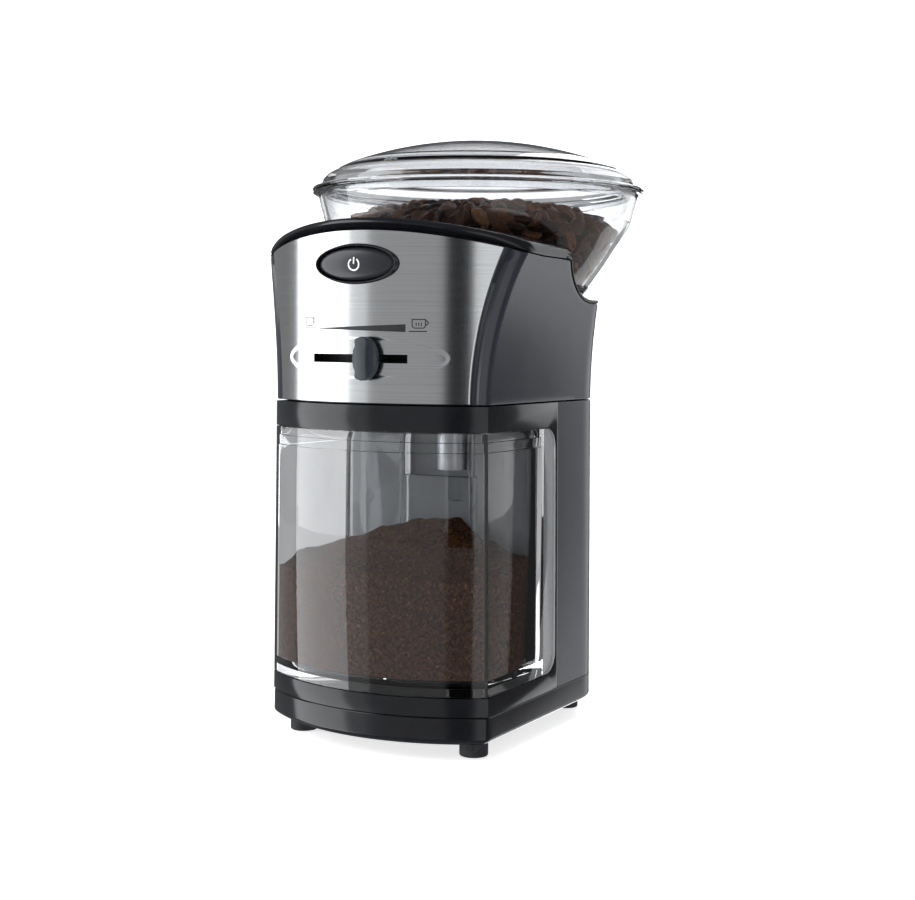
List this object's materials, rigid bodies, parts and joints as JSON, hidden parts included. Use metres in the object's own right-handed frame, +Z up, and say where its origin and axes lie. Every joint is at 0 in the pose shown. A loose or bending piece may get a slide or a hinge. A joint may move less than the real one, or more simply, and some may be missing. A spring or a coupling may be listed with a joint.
{
  "type": "burr coffee grinder",
  "caption": "Upright flat-burr coffee grinder: round lidded bean hopper over a flared head with start button and cup slider, clear pull-out grounds container in front of the motor column.",
  "frame": {"origin": "on the surface it stands on, under the middle of the whole box", "axes": "+Z up, -Y towards the front with the button and slider, +X to the right of someone facing the front"},
  "size_m": [0.1514, 0.184, 0.2608],
  "materials": {
    "black_gloss": "gloss black moulded plastic",
    "grey_satin": "satin dark blue-grey moulded plastic",
    "brushed_plate": "stainless sheet, brushed from side to side",
    "clear_plastic": "clear moulded plastic",
    "button_black": "gloss black with a printed white start symbol",
    "knob_grey": "satin slate grey plastic with upright ribs",
    "foot_rubber": "matt black rubber",
    "screw_steel": "zinc-plated steel",
    "spout_metal": "satin metal",
    "burr_steel": "ground steel",
    "motor_iron": "laminated iron",
    "copper_brass": "enamelled copper and brass",
    "inner_natural": "natural nylon",
    "inner_black": "plain black plastic",
    "board_green": "circuit board"
  },
  "bodies": {
    "housing": {"base_pan": "black_gloss", "foot_front_left": "foot_rubber", "foot_front_right": "foot_rubber", "foot_rear_left": "foot_rubber", "foot_rear_right": "foot_rubber", "base_screw_front_left": "screw_steel", "base_screw_front_right": "screw_steel", "base_screw_rear_left": "screw_steel", "base_screw_rear_right": "screw_steel", "lower_frame": "black_gloss", "rear_cover": "grey_satin", "cord_gland": "foot_rubber", "head_housing": "grey_satin", "faceplate": "brushed_plate", "top_cover": "black_gloss", "grinding_chamber": "inner_black", "chamber_cover": "inner_black", "outlet_spout": "spout_metal", "shaft_seal": "foot_rubber", "stator_core": "motor_iron", "field_coil_left": "copper_brass", "field_coil_right": "copper_brass", "motor_bolt_left": "screw_steel", "motor_bolt_right": "screw_steel", "brush_holder_left": "inner_natural", "brush_holder_right": "inner_natural", "carbon_brush_left": "inner_black", "carbon_brush_right": "inner_black", "upper_bracket": "motor_iron", "lower_bracket": "motor_iron", "upper_bearing": "burr_steel", "lower_bearing": "burr_steel", "button_bezel": "black_gloss", "start_switch": "inner_black", "slide_potentiometer": "inner_black", "control_board": "board_green", "interlock_switch": "inner_black"},
    "hopper": {"hopper": "clear_plastic", "hopper_funnel": "clear_plastic", "hopper_collar": "black_gloss"},
    "lid": {"hopper_lid": "clear_plastic"},
    "container": {"container": "clear_plastic"},
    "start_button": {"start_button": "button_black"},
    "quantity_knob": {"quantity_knob": "knob_grey"},
    "fineness_dial": {"fineness_dial": "black_gloss", "dial_pinion": "inner_natural"},
    "adjusting_ring": {"adjusting_ring": "inner_natural", "upper_burr": "burr_steel"},
    "rotor": {"motor_shaft": "burr_steel", "rotor_core": "motor_iron", "commutator": "copper_brass", "cooling_fan": "inner_natural", "impeller": "inner_natural", "lower_burr": "burr_steel", "burr_nut": "copper_brass"},
    "interlock": {"interlock_plunger": "inner_natural"}
  },
  "joints": [
    {"name": "hopper_lift", "type": "slide", "parent": "housing", "child": "hopper", "axis": [0, 0, 1], "range_m": [0, 0.08]},
    {"name": "lid_lift", "type": "slide", "parent": "hopper", "child": "lid", "axis": [0, 0, 1], "range_m": [0, 0.06]},
    {"name": "container_pull", "type": "slide", "parent": "housing", "child": "container", "axis": [0, -1, 0], "range_m": [0, 0.14]},
    {"name": "start_press", "type": "slide", "parent": "housing", "child": "start_button", "axis": [0, 1, 0], "range_m": [0, 0.0025], "stiffness_N_per_m": 500, "springref_m": -0.001},
    {"name": "quantity_slide", "type": "slide", "parent": "housing", "child": "quantity_knob", "axis": [1, 0, 0], "range_m": [-0.0249, 0.0127]},
    {"name": "ring_turn", "type": "hinge", "parent": "housing", "child": "adjusting_ring", "pos_m": [0, 0.0163, 0.165], "axis": [0, 0, 1], "range_deg": [-20, 20]},
    {"name": "dial_turn", "type": "hinge", "parent": "housing", "child": "fineness_dial", "pos_m": [-0.06, 0.0163, 0.172], "axis": [1, 0, 0], "range_deg": [-120, 120]},
    {"name": "rotor_spin", "type": "hinge", "parent": "housing", "child": "rotor", "pos_m": [0, 0.0163, 0.09], "axis": [0, 0, 1], "continuous": true},
    {"name": "interlock_press", "type": "slide", "parent": "housing", "child": "interlock", "axis": [0, 1, 0], "range_m": [0, 0.002], "stiffness_N_per_m": 200, "springref_m": -0.001}
  ],
  "couplings": [
    {"joint": "dial_turn", "follows": "ring_turn", "ratio": -6}
  ]
}
